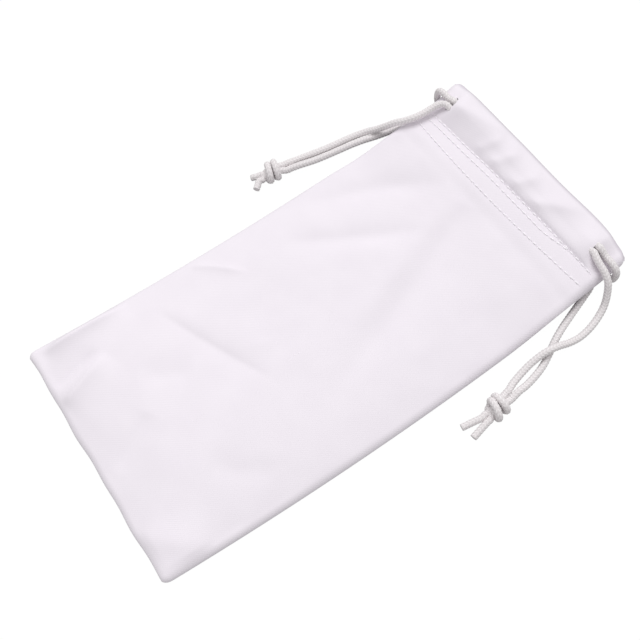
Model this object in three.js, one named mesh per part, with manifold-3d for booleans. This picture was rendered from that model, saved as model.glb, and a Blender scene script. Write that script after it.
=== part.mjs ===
// Drawcord eyeglass pouch, lying flat on its back with the mouth towards +Y.
// Millimetres, +Z up. X runs across the pouch, Y along it, and the table is z = 0.
import * as THREE from 'three';
import { mergeVertices } from 'three/addons/utils/BufferGeometryUtils.js';
import Module from 'manifold-3d';

// The cloth bag
const pouchWidth = 90;
const pouchLength = 180;
const clothThickness = 0.45;
const bodyDepth = 8.4; // clear height inside the bag, along its middle
const mouthGap = 4.4; // clear height between the two casings
const layBow = 3; // how far the soft bag bows sideways where it lies
const bodySeamHeight = 2.2; // height of the side seams above the table
const mouthSeamHeight = 6.2; // the cords under the mouth lift the seams there
const mouthLift = 0.75; // the back hem stands this far off the table
const mouthRise = 30; // length over which the bag rises to its mouth
const bottomTaper = 32; // length over which the bag closes to its bottom seam
const flatShare = 0.72; // share of the half width that lies flat on the table
const bodyRoundness = 2.6; // exponent of the crown across the bag
const mouthRoundness = 3.4; // the same at the mouth, which is fuller

// The turned hems, each with a channel for the cords
const casingDepth = 13.5; // rim to the upper row of stitches
const stitchRowSpacing = 6.2;
const hemTurning = 2.2; // hem cloth beyond the lower row
const casingFullness = 0.4; // lower is fuller
const channelEndHeight = 0.4; // what is left of the channel at the side seams
const channelFull = 0.78; // share of the half width where the channel starts to close
const channelShut = 0.93; // and where it has closed
const hemSkew = 3.8; // how much further from the rim the left end of the hem was sewn
const rimSkew = 0.15; // share of it that the rim shows
const neckDepth = 1.8; // how far the cord draws in the left edge below the rim
const neckRise = 42; // length over which the edge comes in

// The seams inside the edges
const seamStripThickness = 0.9; // two turned-in layers
const seamAllowance = 4.5;
const pieceGap = 0.3;

// The sewing thread
const threadDiameter = 0.4;
const stitchPitch = 2.7;
const stitchHump = 0.18;
const threadGap = 0.1;

// The cords
const cordDiameter = 2.5;
const cordGap = 0.2; // cord to cloth
const tableGap = 0.15; // cord to table
const cordEndGap = 0.5; // between the lengths of one cord, in the hole
const laneSpacing = 3.2; // the two cords in one channel
const holeInset = 9.5; // middle of a cord hole to the side edge
const holeDrop = 7.4; // middle of a cord hole to the rim
const holeLength = 9; // across the pouch
const holeWidth = 7.4; // along the pouch
const holeCorner = 1.5; // radius of its corners
const cutMargin = 1; // how far a hole's cut starts clear of the cloth
const climbMargin = 1.7; // from a hole's ends to where the cord climbs through it
const turnGap = 0.6; // side edge to the cord that turns round it
const turnFullness = 3; // exponent of the turn's squared-off curve
const crossingHalf = 14; // half the length over which the cords change lanes
const crossingFlat = 10.5; // half the length over which they lie flat on each other
const crossingEnd = 17.5; // and where they are round again
const crossingSqueeze = 0.56; // how far they flatten each other there
const crossingSpread = 0.3; // and widen

// The knots, each tied in both ends of one cord: an open trefoil of two strands
const knotLength = 1.4; // scale along the cord
const knotBreadth = 1.4; // scale across it
const knotHeight = 1.3; // scale of its over-and-under
const knotReach = 1.95; // its parameter runs from minus this to this
const knotStub = 2.6; // straight cord at each end of the knot
const strandSpacing = 2.85; // between the two strands where they enter and leave the knot
const knotSpacing = 2; // and inside it, before it is drawn tight
const knotCordDiameter = 2; // the cord is squeezed where it is knotted
const knotGap = 0.25; // between the lengths of cord in a knot
const knotMiddleHeight = 3.8;

// Where each cord lies outside the pouch: its free strands after they leave the holes, its knot
// and the ends of its tails. knotSide is the side of the cord that the knot's loop bulges away from.
const leftCord = {
  front: [
    [-37.7, 77.1, 11.7], [-38.8, 75.4, 11.2], [-39.2, 73, 10.8], [-39.3, 70.4, 10.6], [-39.6, 67.8, 10.5],
    [-40.2, 65.2, 10.3], [-41.4, 62.7, 9.6], [-43.1, 60.3, 8.6], [-45, 57.8, 6.6], [-47.2, 55.2, 4.2],
    [-49.4, 52.4, 2.5], [-50.8, 49.2, 1.6], [-51.7, 45, 1.4], [-52.4, 40, 1.4], [-53.2, 35, 1.4],
    [-54.3, 29.8, 1.4], [-55.2, 25.2, 1.5],
  ],
  back: [
    [-37.8, 77.2, 1.45], [-39.9, 76.2, 1.4], [-41.6, 74.2, 1.4], [-43, 71, 1.4], [-44, 67.5, 1.4],
    [-44.8, 63.5, 1.4], [-45.4, 58.8, 1.4], [-46.4, 54.4, 1.4], [-47.8, 49.5, 1.4], [-48.8, 45, 1.4],
    [-49.6, 40, 1.4], [-50.4, 35, 1.4], [-51.3, 30, 1.5], [-52.2, 25.2, 2.2],
  ],
  knotPlace: [-55.5, 14.9],
  knotHeading: [-0.147, -0.989],
  knotSide: 1,
  tailEnds: [[-58.5, 7.8, 1.6], [-53.1, 6.4, 2.2]],
};
const rightCord = {
  front: [
    [39.2, 80.4, 11.7], [41.6, 80, 11.2], [44.4, 79.7, 10.6], [47.4, 79, 9], [49.9, 77.5, 6],
    [52, 75.2, 3.2], [53.6, 71.8, 1.8], [54.9, 67.4, 1.4], [55.5, 62.6, 1.4], [55.1, 58.2, 2],
    [54.3, 54.2, 3.5], [53.7, 50.4, 4.3], [53.4, 46.6, 3.4], [53.6, 42.4, 2.1], [54.3, 38.4, 1.5],
    [55.3, 34.6, 1.5],
  ],
  back: [
    [39, 80.3, 1.45], [41.2, 79.6, 1.4], [43, 78.2, 1.4], [44.2, 76.2, 1.4], [45.1, 73.6, 1.4],
    [46.3, 70, 1.4], [47.9, 65.2, 1.4], [50, 59.2, 1.4], [52.1, 54.4, 1.4], [54.3, 50.4, 1.4],
    [56.3, 46, 1.4], [57.6, 41.4, 1.4], [58.3, 37.4, 1.6], [58.5, 34.4, 2.2],
  ],
  knotPlace: [58.7, 25.4],
  knotHeading: [0.16, -0.987],
  knotSide: -1,
  tailEnds: [[57.3, 12.4, 1.5], [62, 13.4, 1.5]],
};

const cordSides = 8;
const widthSteps = 16;
const bodySteps = 12;
const bodyStepGrowth = 1.35; // the steps are finer at the bottom
const casingSteps = 8;
const runSteps = 24;
const turnSteps = 10;
const strandSteps = 26;
const tailSteps = 4;
const knotBends = 16;
const knotSteps = 40;

// Drawing a knot tight
const knotPoints = 60;
const heldPoints = 2; // at each end, which keep their places
const nearPoints = 6; // neighbours on one strand, which may lie nearer than the cord is thick
const tightenRounds = 300;
const tightenPasses = 3; // in each round, to part the strands
const tightenPull = 0.2; // how far a point moves to the middle of its neighbours in the first round
const lastPull = 0.15; // and in the last ones
const pairPull = 0.1; // how far two strands that have come apart are drawn together
const settleRounds = 40; // which only part the strands
const evenRounds = 20; // between spreading the points along the strands again

const halfWidth = pouchWidth / 2;
const rimY = pouchLength / 2;
const bottomY = -rimY;
const upperRowY = rimY - casingDepth;
const upperStitchY = upperRowY - threadDiameter; // clear of the casing's swell
const lowerRowY = upperRowY - stitchRowSpacing;
const hemEdgeY = lowerRowY - hemTurning;
const channelHeight = cordDiameter + 2 * cordGap;
const cordRadius = cordDiameter / 2;
const seamStack = seamStripThickness / 2 + pieceGap;
const holeX = halfWidth - holeInset;
const holeY = rimY - holeDrop;
const turnLaneY = holeY + laneSpacing / 2;
const holeIn = holeX - holeLength / 2;
const holeOut = holeX + holeLength / 2;
const climbFrom = holeIn + climbMargin;
const climbTo = holeOut - climbMargin;

const mix = THREE.MathUtils.lerp;
const ease = THREE.MathUtils.smoothstep;
const limit = THREE.MathUtils.clamp;

// The cloth surfaces. u runs from -1 at the left edge to 1 at the right edge.
const bowAt = (y) => (layBow * (turnLaneY ** 2 - y ** 2)) / rimY ** 2;
const mouthShare = (y) => ease(y, hemEdgeY - mouthRise, hemEdgeY);
const seamHeight = (y) => mix(bodySeamHeight, mouthSeamHeight, mouthShare(y));
const liftAt = (y) => mouthLift * mouthShare(y);
const hemShare = (y) => limit((y - hemEdgeY) / clothThickness, 0, 1);
const clothLayers = (y) => clothThickness * (1 + hemShare(y));
const channelClose = (u) => ease(Math.abs(u), channelFull, channelShut);
const channelAt = (u) => mix(channelHeight, channelEndHeight, channelClose(u));

function casingSwell(y) {
  const share = limit((y - upperRowY) / casingDepth, 0, 1);
  return Math.sin(Math.PI * share) ** casingFullness;
}

function bottomClose(y, length, power) {
  return limit((bottomY + length - y) / length, 0, 1) ** power;
}

function frontInner(u, y) {
  const roundness = mix(bodyRoundness, mouthRoundness, mouthShare(y));
  const open = (1 - Math.abs(u) ** roundness) * (1 - bottomClose(y, bottomTaper, 2));
  const bodyCeiling = clothThickness + bodyDepth;
  const mouthCeiling = mouthLift + 2 * clothThickness + channelHeight + mouthGap;
  const ceiling = mix(bodyCeiling, mouthCeiling, mouthShare(y));
  return mix(seamHeight(y) + seamStack, ceiling, open);
}

function frontOuter(u, y) {
  return frontInner(u, y) + clothLayers(y) + channelAt(u) * casingSwell(y);
}

function backOuter(u, y) {
  const flat = (1 - ease(Math.abs(u), flatShare, 1)) * (1 - bottomClose(y, bottomTaper / 2, 2));
  const edge = seamHeight(y) - seamStack - clothLayers(y) - channelEndHeight * casingSwell(y);
  return mix(edge, liftAt(y), flat);
}

function backInner(u, y) {
  return backOuter(u, y) + clothLayers(y) + channelAt(u) * casingSwell(y);
}

const seamUnder = (u, y) => seamHeight(y) - seamStripThickness / 2;
const seamOver = (u, y) => seamHeight(y) + seamStripThickness / 2;

// Equal rings of points become one closed solid. Each loop of ring indices is a wall along the
// rings, and the cells, polygons of ring indices, close the first and last ring.
function loft(rings, loops, cells) {
  const span = rings[0].length;
  const points = rings.flat();
  const last = points.length - span;
  const faces = [];
  for (let start = 0; start < last; start += span) {
    for (const loop of loops) {
      loop.forEach((from, j) => {
        const a = start + from;
        const b = start + loop[(j + 1) % loop.length];
        faces.push(a, b, b + span, a, b + span, a + span);
      });
    }
  }
  for (const cell of cells) {
    for (let k = 1; k < cell.length - 1; k += 1) {
      faces.push(cell[0], cell[k + 1], cell[k]);
      faces.push(last + cell[0], last + cell[k], last + cell[k + 1]);
    }
  }
  const geometry = new THREE.BufferGeometry().setFromPoints(points);
  geometry.setIndex(volumeOf(points, faces) < 0 ? faces.reverse() : faces);
  return geometry;
}

function volumeOf(points, faces) {
  let sum = 0;
  for (let i = 0; i < faces.length; i += 3) {
    const [a, b, c] = faces.slice(i, i + 3).map((k) => points[k]);
    sum += a.dot(b.clone().cross(c));
  }
  return sum / 6;
}

// The hems were sewn askew, so their rows and holes lie further from the rim at the left edge.
function skewAt(u, y) {
  const share = mouthShare(y) * mix(1, rimSkew, ease(y, holeY, rimY));
  return (-hemSkew * share * (1 - u)) / 2;
}

function neckAt(u, y) {
  const share = ease(y, hemEdgeY - neckRise, hemEdgeY) * (1 - ease(y, holeY, rimY));
  return neckDepth * share * Math.max(-u, 0) ** 2;
}

function layPoint(u, y, z) {
  return new THREE.Vector3(u * halfWidth + bowAt(y) + neckAt(u, y), y + skewAt(u, y), z);
}

// A piece of cloth between two surfaces over the stations us and ys. From the station
// channelFrom to the one before the last, it is hollow between its outer cloth and its hem.
function clothSolid(us, ys, lower, upper, channelFrom = ys.length) {
  const n = ys.length;
  const sleeve = ys.slice(channelFrom, -1);
  const rings = us.map((u) => [
    ...ys.map((y) => layPoint(u, y, lower(u, y))),
    ...ys.map((y) => layPoint(u, y, upper(u, y))),
    ...sleeve.map((y) => layPoint(u, y, lower(u, y) + clothThickness)),
    ...sleeve.map((y) => layPoint(u, y, upper(u, y) - clothThickness)),
  ]);
  const under = ys.map((_, j) => j);
  const over = under.map((j) => n + j);
  const floor = sleeve.map((_, k) => 2 * n + k);
  const roof = floor.map((k) => k + sleeve.length);
  const loops = [[...under, ...[...over].reverse()]];
  if (sleeve.length) loops.push([...roof, ...[...floor].reverse()]);
  const cells = [];
  for (let j = 0; j < n - 1; j += 1) {
    const k = j - channelFrom;
    if (k + 1 < 0 || !sleeve.length) {
      cells.push([under[j], under[j + 1], over[j + 1], over[j]]);
    } else if (k + 1 === 0) {
      cells.push([under[j], under[j + 1], floor[0], roof[0], over[j + 1], over[j]]);
    } else if (k + 1 < sleeve.length) {
      cells.push([under[j], under[j + 1], floor[k + 1], floor[k]]);
      cells.push([roof[k], roof[k + 1], over[j + 1], over[j]]);
    } else {
      cells.push([under[j + 1], over[j + 1], over[j], roof[k], floor[k], under[j]]);
    }
  }
  return loft(rings, loops, cells);
}

// A thin thread along a row of points, with a diamond section across the given direction.
function threadAlong(points, across) {
  const radius = threadDiameter / 2;
  const up = new THREE.Vector3(0, 0, radius);
  const aside = across.clone().multiplyScalar(radius);
  const rings = points.map((p) => [
    p.clone().add(aside), p.clone().add(up), p.clone().sub(aside), p.clone().sub(up),
  ]);
  return loft(rings, [[0, 1, 2, 3]], [[0, 1, 2, 3]]);
}

const steps = (n) => Array.from({ length: n + 1 }, (_, i) => i / n);
const acrossUs = steps(widthSteps).map((s) => Math.sin(Math.PI * (s - 0.5)));
const bottomUs = acrossUs.map((u) => u * (1 - (2 * seamAllowance) / halfWidth));
const bodyYs = steps(bodySteps).map((s) => mix(bottomY, hemEdgeY, s ** bodyStepGrowth));
const casingYs = steps(casingSteps).map((s) => mix(upperRowY, rimY, (1 - Math.cos(Math.PI * s)) / 2));
const panelYs = [...bodyYs, hemEdgeY + clothThickness, lowerRowY, ...casingYs];
const channelStation = panelYs.indexOf(upperRowY) + 1;

// Booleans
const wasm = await Module();
wasm.setup();

function solidOf(geometry) {
  const bare = geometry.clone();
  bare.deleteAttribute('normal');
  bare.deleteAttribute('uv');
  const merged = mergeVertices(bare, 1e-3);
  return new wasm.Manifold(new wasm.Mesh({
    numProp: 3,
    vertProperties: new Float32Array(merged.attributes.position.array),
    triVerts: new Uint32Array(merged.index.array),
  }));
}

function geometryOf(solid) {
  const mesh = solid.getMesh();
  const geometry = new THREE.BufferGeometry();
  geometry.setAttribute('position', new THREE.BufferAttribute(mesh.vertProperties, 3));
  geometry.setIndex(new THREE.BufferAttribute(mesh.triVerts, 1));
  return geometry;
}

// A cord hole goes through the outer cloth into the channel, and not through the hem behind it.
function cordHole(side, from, to) {
  const half = new THREE.Vector2(holeLength / 2, holeWidth / 2);
  const corner = holeCorner;
  const shape = new THREE.Shape();
  shape.moveTo(half.x - corner, -half.y);
  shape.absarc(half.x - corner, -half.y + corner, corner, -Math.PI / 2, 0);
  shape.absarc(half.x - corner, half.y - corner, corner, 0, Math.PI / 2);
  shape.absarc(-half.x + corner, half.y - corner, corner, Math.PI / 2, Math.PI);
  shape.absarc(-half.x + corner, -half.y + corner, corner, Math.PI, 1.5 * Math.PI);
  const cut = new THREE.ExtrudeGeometry(shape, { depth: to - from, bevelEnabled: false, curveSegments: 3 });
  cut.translate(...layPoint((side * holeX) / halfWidth, holeY, from));
  return solidOf(cut);
}

function panel(lower, upper, cutFrom, cutTo) {
  let solid = solidOf(clothSolid(acrossUs, panelYs, lower, upper, channelStation));
  for (const side of [-1, 1]) solid = solid.subtract(cordHole(side, cutFrom, cutTo));
  return geometryOf(solid);
}

// A row of stitches: one thread that lifts off the cloth in the middle of each stitch.
function stitchRow(y, surface, facing) {
  const reach = halfWidth - seamAllowance / 2;
  const count = Math.round((2 * reach) / stitchPitch);
  const points = steps(2 * count).map((s, i) => {
    const u = mix(-reach, reach, s) / halfWidth;
    const lift = threadDiameter / 2 + threadGap + (i % 2) * stitchHump;
    return layPoint(u, y, surface(u, y) + facing * lift);
  });
  return threadAlong(points, new THREE.Vector3(0, 1, 0));
}

// The overlocking thread that lies along a seam's turned-in edge.
const seamThreadInset = seamAllowance - threadDiameter;
const overSeam = (u, y) => layPoint(u, y, seamOver(u, y) + threadDiameter / 2 + threadGap);

function sideSeamThread(side) {
  const u = (side * (halfWidth - seamThreadInset)) / halfWidth;
  const ys = panelYs.filter((y) => y > bottomY + 2 * seamAllowance);
  return threadAlong(ys.map((y) => overSeam(u, y)), new THREE.Vector3(1, 0, 0));
}

function bottomSeamThread() {
  const y = bottomY + seamThreadInset;
  return threadAlong(bottomUs.map((u) => overSeam(u, y)), new THREE.Vector3(0, 1, 0));
}

// Cords
function cordTube(points, tubeSteps, radius = cordRadius) {
  const path = new THREE.CatmullRomCurve3(points, false, 'centripetal');
  const section = new THREE.Shape().absarc(0, 0, radius, 0, 2 * Math.PI);
  return new THREE.ExtrudeGeometry(section, {
    steps: tubeSteps, curveSegments: cordSides / 2, extrudePath: path, bevelEnabled: false,
  });
}

// Both cords run in the same channels and change lanes in the middle, so each leaves the
// hole on the rim side where it turns and on the other side where its free ends come out.
// away is 1 for the cord that turns round the right edge and -1 for the one on the left.
function laneY(away, x) {
  return holeY + (laneSpacing / 2) * Math.sin((Math.PI / 2) * limit((away * x) / crossingHalf, -1, 1));
}

function frontCordPoint(away, x) {
  const u = x / halfWidth;
  const y = laneY(away, x);
  const inside = (frontInner(u, y) + frontOuter(u, y)) / 2;
  const outside = frontOuter(u, y) + cordGap + cordRadius;
  return layPoint(u, y, mix(inside, outside, ease(Math.abs(x), climbFrom, climbTo)));
}

function backCordPoint(away, x) {
  const u = x / halfWidth;
  const y = laneY(away, x);
  const inside = (backInner(u, y) + backOuter(u, y)) / 2;
  return layPoint(u, y, mix(inside, tableGap + cordRadius, ease(Math.abs(x), climbFrom, climbTo)));
}

function channelCord(away) {
  const xs = steps(runSteps);
  const front = xs.map((t) => frontCordPoint(away, away * mix(-holeX, holeOut, t)));
  const back = xs.map((t) => backCordPoint(away, away * mix(holeOut, -holeX, t)));
  const top = front[runSteps];
  const low = back[0];
  const edge = layPoint(away, turnLaneY, 0);
  const reach = Math.abs(edge.x - top.x) + turnGap + cordRadius;
  const middle = (top.z + low.z) / 2;
  const half = (top.z - low.z) / 2;
  const power = 2 / turnFullness;
  const turn = steps(turnSteps).slice(1, -1).map((t) => {
    const angle = Math.PI * (0.5 - t);
    const out = reach * Math.cos(angle) ** power;
    const up = half * Math.sign(angle) * Math.abs(Math.sin(angle)) ** power;
    return new THREE.Vector3(top.x + away * out, top.y, middle + up);
  });
  const geometry = cordTube([...front, ...turn, ...back], 2 * runSteps + turnSteps);
  squeezeCrossings(geometry, away);
  return geometry;
}

// Where the two cords cross in a channel, one lies on the other and both are flattened.
function squeezeCrossings(geometry, away) {
  const position = geometry.attributes.position;
  const point = new THREE.Vector3();
  for (let i = 0; i < position.count; i += 1) {
    point.fromBufferAttribute(position, i);
    const x = point.x - bowAt(holeY);
    const share = 1 - ease(Math.abs(x), crossingFlat, crossingEnd);
    if (share === 0) continue;
    const onFront = point.z > seamHeight(holeY);
    const middle = onFront ? frontCordPoint(away, x) : backCordPoint(away, x);
    const height = cordDiameter * (1 - crossingSqueeze);
    const offset = (away * (channelHeight - 2 * cordGap - height)) / 2;
    point.y = middle.y + (point.y - middle.y) * (1 + crossingSpread * share);
    point.z = middle.z + (point.z - middle.z) * (1 - crossingSqueeze * share) + offset * share;
    position.setXYZ(i, point.x, point.y, point.z);
  }
}

// Turns distances along, across and above the middle of a knot into a place on the table.
function knotFrame(route) {
  const along = new THREE.Vector3(...route.knotHeading, 0).normalize();
  const across = new THREE.Vector3(-along.y, along.x, 0);
  const up = new THREE.Vector3(0, 0, 1);
  const place = new THREE.Vector3(...route.knotPlace, knotMiddleHeight);
  return (x, y, z) =>
    place.clone().addScaledVector(along, x).addScaledVector(across, y).addScaledVector(up, z);
}

// The middle of one of the two strands through a knot.
function knotPath(route, strand) {
  const at = knotFrame(route);
  const bends = steps(knotBends).map((s) => {
    const t = mix(-knotReach, knotReach, s);
    const spacing = mix(knotSpacing, strandSpacing, (t / knotReach) ** 4);
    const beside = (strand * spacing * Math.SQRT1_2) / 2;
    const x = knotLength * (t ** 3 - 3 * t);
    const y = route.knotSide * knotBreadth * (t ** 4 - 4 * t ** 2 + 2);
    const z = knotHeight * (t ** 5 / 5 - 2 * t);
    return [x, y + beside, z + beside];
  });
  const [x0, y0, z0] = bends[0];
  const [x1, y1, z1] = bends[knotBends];
  const entry = at(x0 - knotStub, y0, z0);
  const exit = at(x1 + knotStub, y1, z1);
  return [entry, ...bends.map((p) => at(...p)), exit];
}

// Spreads the points of a strand evenly along it.
function spread(points) {
  const path = new THREE.CatmullRomCurve3(points.map((p) => p.clone()), false, 'centripetal');
  path.getSpacedPoints(points.length - 1).forEach((p, i) => points[i].copy(p));
}

// Draws both strands of a knot tight. Each point moves to the middle of its neighbours, and then
// away from any other length of cord that it would press into, while the strands keep together.
function tightKnot(route) {
  const strands = [-1, 1].map((strand) => {
    const path = new THREE.CatmullRomCurve3(knotPath(route, strand), false, 'centripetal');
    return path.getSpacedPoints(knotPoints);
  });
  const apart = knotCordDiameter + knotGap;
  const lowest = tableGap + knotCordDiameter / 2;
  const moving = strands.flatMap((points, s) => points.map((p, i) => ({ p, s, i })));
  const isFree = ({ i }) => i >= heldPoints && i <= knotPoints - heldPoints;
  for (let round = 0; round < tightenRounds + settleRounds; round += 1) {
    const slack = Math.max(0, 1 - round / tightenRounds);
    const pull = round < tightenRounds ? Math.max(lastPull, tightenPull * slack) : 0;
    for (const points of strands) {
      if (round >= tightenRounds && round % evenRounds === 0) spread(points);
      const before = points.map((p) => p.clone());
      for (let i = heldPoints; i <= knotPoints - heldPoints; i += 1) {
        const middle = before[i - 1].clone().add(before[i + 1]).multiplyScalar(0.5);
        points[i].lerp(middle, pull);
      }
    }
    for (let pass = 0; pass < tightenPasses; pass += 1) {
      moving.forEach((a, k) => {
        for (const b of moving.slice(k + 1)) {
          if (a.s === b.s && b.i - a.i < nearPoints) continue;
          const way = b.p.clone().sub(a.p);
          const short = apart - way.length();
          const isPair = a.s !== b.s && a.i === b.i;
          if (short <= 0 && !isPair) continue;
          way.multiplyScalar((short > 0 ? 0.5 : pairPull * slack) * short / way.length());
          if (isFree(a)) a.p.sub(way);
          if (isFree(b)) b.p.add(way);
        }
      });
      for (const { p } of moving) p.z = Math.max(p.z, lowest);
    }
  }
  return strands;
}

const strandOf = { front: 0, back: 1 };

// A free strand goes on from the channel's cord, follows its chosen points and ends at the knot.
function freeStrand(away, route, which) {
  const exitPoint = which === 'front' ? frontCordPoint : backCordPoint;
  const start = exitPoint(away, -away * (holeX + cordEndGap));
  const leave = exitPoint(away, -away * (holeX + cordEndGap + cordRadius));
  const end = route.knot[strandOf[which]][0].clone();
  const heading = new THREE.Vector3(...route.knotHeading, 0).normalize();
  end.addScaledVector(heading, -pieceGap);
  const arrive = end.clone().addScaledVector(heading, -cordRadius);
  const points = route[which].map((p) => new THREE.Vector3(...p));
  return cordTube([start, leave, ...points, arrive, end], strandSteps);
}

function tail(route, which) {
  const heading = new THREE.Vector3(...route.knotHeading, 0).normalize();
  const start = route.knot[strandOf[which]][knotPoints].clone().addScaledVector(heading, pieceGap);
  const end = new THREE.Vector3(...route.tailEnds[which === 'front' ? 0 : 1]);
  const leave = start.clone().addScaledVector(heading, cordRadius);
  const fall = leave.clone().lerp(end, 0.5);
  return cordTube([start, leave, fall, end], tailSteps);
}

const group = new THREE.Group();
const cloth = { color: 0xf1ebf2, roughness: 0.9, metalness: 0 };
const lining = { color: 0xeae3ec, roughness: 0.9, metalness: 0 };
const thread = { color: 0xf6f1f7, roughness: 0.7, metalness: 0 };
const cord = { color: 0xe8e3e0, roughness: 0.75, metalness: 0 };

function add(name, geometry, look) {
  const mesh = new THREE.Mesh(geometry, new THREE.MeshStandardMaterial(look));
  mesh.name = name;
  group.add(mesh);
}

const frontCut = frontInner(holeIn / halfWidth, holeY) + clothThickness + pieceGap;
const backCut = backInner(holeIn / halfWidth, holeY) - clothThickness - pieceGap;
const frontTop = frontOuter(0, holeY);
add('front_panel', panel(frontInner, frontOuter, frontCut, frontTop + cutMargin), cloth);
add('back_panel', panel(backOuter, backInner, -cutMargin, backCut), cloth);

const seamShare = 1 - seamAllowance / halfWidth;
const bottomYs = [bottomY, bottomY + seamAllowance];
add('left_side_seam', clothSolid([-1, -seamShare], panelYs, seamUnder, seamOver), lining);
add('right_side_seam', clothSolid([seamShare, 1], panelYs, seamUnder, seamOver), lining);
add('bottom_seam', clothSolid(bottomUs, bottomYs, seamUnder, seamOver), lining);

add('left_seam_thread', sideSeamThread(-1), thread);
add('right_seam_thread', sideSeamThread(1), thread);
add('bottom_seam_thread', bottomSeamThread(), thread);
add('front_upper_stitches', stitchRow(upperStitchY, frontOuter, 1), thread);
add('front_lower_stitches', stitchRow(lowerRowY, frontOuter, 1), thread);
add('back_upper_stitches', stitchRow(upperStitchY, backOuter, -1), thread);
add('back_lower_stitches', stitchRow(lowerRowY, backOuter, -1), thread);

for (const [side, away, route] of [['left', 1, leftCord], ['right', -1, rightCord]]) {
  route.knot = tightKnot(route);
  add(`${side}_channel_cord`, channelCord(away), cord);
  for (const which of ['front', 'back']) {
    const knotted = route.knot[strandOf[which]];
    add(`${side}_${which}_strand`, freeStrand(away, route, which), cord);
    add(`${side}_${which}_knot`, cordTube(knotted, knotSteps, knotCordDiameter / 2), cord);
    add(`${side}_${which}_tail`, tail(route, which), cord);
  }
}

export default group;
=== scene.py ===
import math

import bmesh
import bpy
import numpy as np
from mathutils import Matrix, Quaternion, Vector


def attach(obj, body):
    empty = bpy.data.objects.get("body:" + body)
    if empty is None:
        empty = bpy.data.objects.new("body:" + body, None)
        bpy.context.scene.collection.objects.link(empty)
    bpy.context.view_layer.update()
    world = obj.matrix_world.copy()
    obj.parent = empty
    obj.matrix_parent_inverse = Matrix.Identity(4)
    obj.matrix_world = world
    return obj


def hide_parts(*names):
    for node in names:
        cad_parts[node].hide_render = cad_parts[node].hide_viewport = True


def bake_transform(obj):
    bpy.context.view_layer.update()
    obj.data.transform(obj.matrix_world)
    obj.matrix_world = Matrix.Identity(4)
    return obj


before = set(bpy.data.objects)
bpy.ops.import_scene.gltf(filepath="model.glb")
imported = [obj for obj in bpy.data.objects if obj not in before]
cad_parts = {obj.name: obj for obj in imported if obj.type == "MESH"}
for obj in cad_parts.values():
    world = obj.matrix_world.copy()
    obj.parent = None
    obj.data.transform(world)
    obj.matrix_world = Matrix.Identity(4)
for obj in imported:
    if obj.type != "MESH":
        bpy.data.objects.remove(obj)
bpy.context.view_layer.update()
print("frame loaded")

mm = 0.001
scene = bpy.context.scene
scene.view_settings.view_transform = "Standard"


def ease(v, low, high):
    t = np.clip((v - low) / (high - low), 0, 1)
    return t * t * (3 - 2 * t)


def mix(a, b, t):
    return a + (b - a) * t


def bell(d, width):
    return np.exp(-((d / width) ** 2))


def unit(v):
    return v / np.maximum(np.linalg.norm(v, axis=-1, keepdims=True), 1e-9)


def smoothNoise(x, y, cell, seed):
    # soft random hills about one cell across, from -1 to 1
    grid = np.random.default_rng(seed).uniform(-1, 1, (96, 96))
    gx, gy = x / cell, y / cell
    i, j = np.floor(gx).astype(int), np.floor(gy).astype(int)
    fx, fy = gx - i, gy - j
    fx, fy = fx**3 * (fx * (6 * fx - 15) + 10), fy**3 * (fy * (6 * fy - 15) + 10)
    low, high = (mix(grid[i % 96, k % 96], grid[(i + 1) % 96, k % 96], fx) for k in (j, j + 1))
    return mix(low, high, fy)


def makeMesh(name, points, faces, material, smooth=True, flatFrom=None):
    # points in millimetres; faces from flatFrom on stay flat
    mesh = bpy.data.meshes.new(name)
    mesh.from_pydata((np.asarray(points, float) * mm).tolist(), [], faces)
    flags = np.full(len(mesh.polygons), smooth)
    if flatFrom is not None:
        flags[flatFrom:] = False
    mesh.polygons.foreach_set("use_smooth", flags)
    mesh.materials.append(material)
    piece = bpy.data.objects.new(name, mesh)
    scene.collection.objects.link(piece)
    return piece


def faceOutwards(piece):
    work = bmesh.new()
    work.from_mesh(piece.data)
    bmesh.ops.recalc_face_normals(work, faces=work.faces)
    work.to_mesh(piece.data)
    work.free()


def setUv(piece, perVertex):
    mesh = piece.data
    layer = mesh.uv_layers.new(name="UVMap")
    corner = np.empty(len(mesh.loops), int)
    mesh.loops.foreach_get("vertex_index", corner)
    layer.data.foreach_set("uv", np.asarray(perVertex, np.float32)[corner].ravel())


def setValue(piece, name, perVertex):
    attribute = piece.data.attributes.new(name, "FLOAT", "POINT")
    attribute.data.foreach_set("value", np.asarray(perVertex, np.float32))


def gridCells(cols, rows):
    # the four corners of each cell of a grid of points
    index = np.arange(cols * rows).reshape(cols, rows)
    return np.stack([index[:-1, :-1], index[1:, :-1], index[1:, 1:], index[:-1, 1:]], -1)


def spans(*parts):
    # stations along a line, from (end, count) pairs
    stations = [parts[0]]
    for end, count in parts[1:]:
        stations += np.linspace(stations[-1], end, count + 1)[1:].tolist()
    return np.array(stations)


def smoothPath(points, spacing):
    # a centripetal curve through the points, sampled evenly
    p = np.asarray(points, float)
    p = np.concatenate([[2 * p[0] - p[1]], p, [2 * p[-1] - p[-2]]])
    t = np.concatenate([[0], np.cumsum(np.sqrt(np.linalg.norm(np.diff(p, axis=0), axis=1)))])
    line = []
    for i in range(1, len(p) - 2):
        s = np.linspace(t[i], t[i + 1], 12, endpoint=False)[:, None]

        def between(a, b, j, k):
            return ((t[k] - s) * a + (s - t[j]) * b) / (t[k] - t[j])

        near = [between(p[j], p[j + 1], j, j + 1) for j in (i - 1, i, i + 1)]
        pair = between(near[0], near[1], i - 1, i + 1), between(near[1], near[2], i, i + 2)
        line.append(between(*pair, i, i + 1))
    line = np.concatenate([*line, p[-2:-1]])
    run = np.concatenate([[0], np.cumsum(np.linalg.norm(np.diff(line, axis=0), axis=1))])
    even = np.linspace(0, run[-1], round(run[-1] / spacing) + 1)
    return np.stack([np.interp(even, run, line[:, k]) for k in range(3)], 1)


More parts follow.
